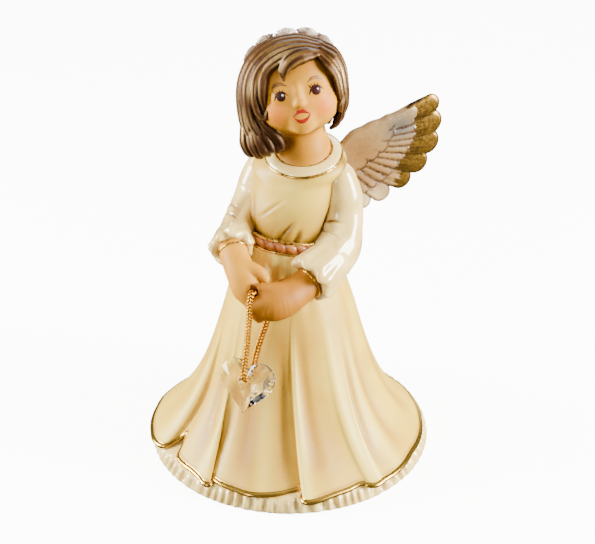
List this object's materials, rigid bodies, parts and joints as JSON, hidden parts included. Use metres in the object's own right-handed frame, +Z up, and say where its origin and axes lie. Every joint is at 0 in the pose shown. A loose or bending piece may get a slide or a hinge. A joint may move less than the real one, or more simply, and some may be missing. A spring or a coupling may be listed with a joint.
{
  "type": "angel figurine",
  "caption": "Porcelain girl angel in a flared dress, hands clasped round a braided ribbon loop that carries a faceted crystal heart.",
  "frame": {"origin": "centre of the flat underside", "axes": "+Z up, the figure faces -Y, her own left is +X"},
  "size_m": [0.097, 0.097, 0.1506],
  "materials": {
    "dress": "matte bisque, pale yellow with ochre shading in the folds",
    "bodice": "matte bisque, khaki ochre",
    "bisque": "unglazed white bisque",
    "skin": "satin bisque, warm peach",
    "belt": "satin bisque, terracotta with gold lines",
    "hair": "glossy brown glaze with gold lustre streaks",
    "white_glaze": "glossy pearl white glaze with gold rims",
    "rose": "glossy white glaze with dark petal outlines",
    "wing": "beige glaze, brown feather lines, antique gold tips",
    "ribbon": "braided gold lurex",
    "crystal": "clear cut crystal"
  },
  "bodies": {
    "figurine": {"skirt": "dress", "petticoat": "white_glaze", "base_floor": "bisque", "bodice": "bodice", "belt": "belt", "collar": "white_glaze", "head": "skin", "hair": "hair", "side_lock_right": "hair", "side_lock_left": "hair", "wreath_rose_01": "rose", "wreath_rose_02": "rose", "wreath_rose_03": "rose", "wreath_rose_04": "rose", "wreath_rose_05": "rose", "wreath_rose_06": "rose", "wreath_rose_07": "rose", "wreath_rose_08": "rose", "wreath_rose_09": "rose", "wreath_rose_10": "rose", "sleeve_left": "white_glaze", "sleeve_right": "white_glaze", "cuff_left": "white_glaze", "cuff_right": "white_glaze", "forearm_left": "skin", "forearm_right": "skin", "wing_left": "wing", "wing_right": "wing"},
    "ribbon": {"ribbon": "ribbon"},
    "heart": {"crystal_heart": "crystal"}
  },
  "joints": [
    {"name": "ribbon_sway", "type": "hinge", "parent": "figurine", "child": "ribbon", "pos_m": [0.0022, -0.0302, 0.0718], "axis": [0.111, 0.4758, -0.8725], "range_deg": [-15, 15]},
    {"name": "heart_turn", "type": "hinge", "parent": "ribbon", "child": "heart", "pos_m": [0.0013, -0.0352, 0.0428], "axis": [0, -0.9511, 0.309], "range_deg": [-20, 20]}
  ]
}
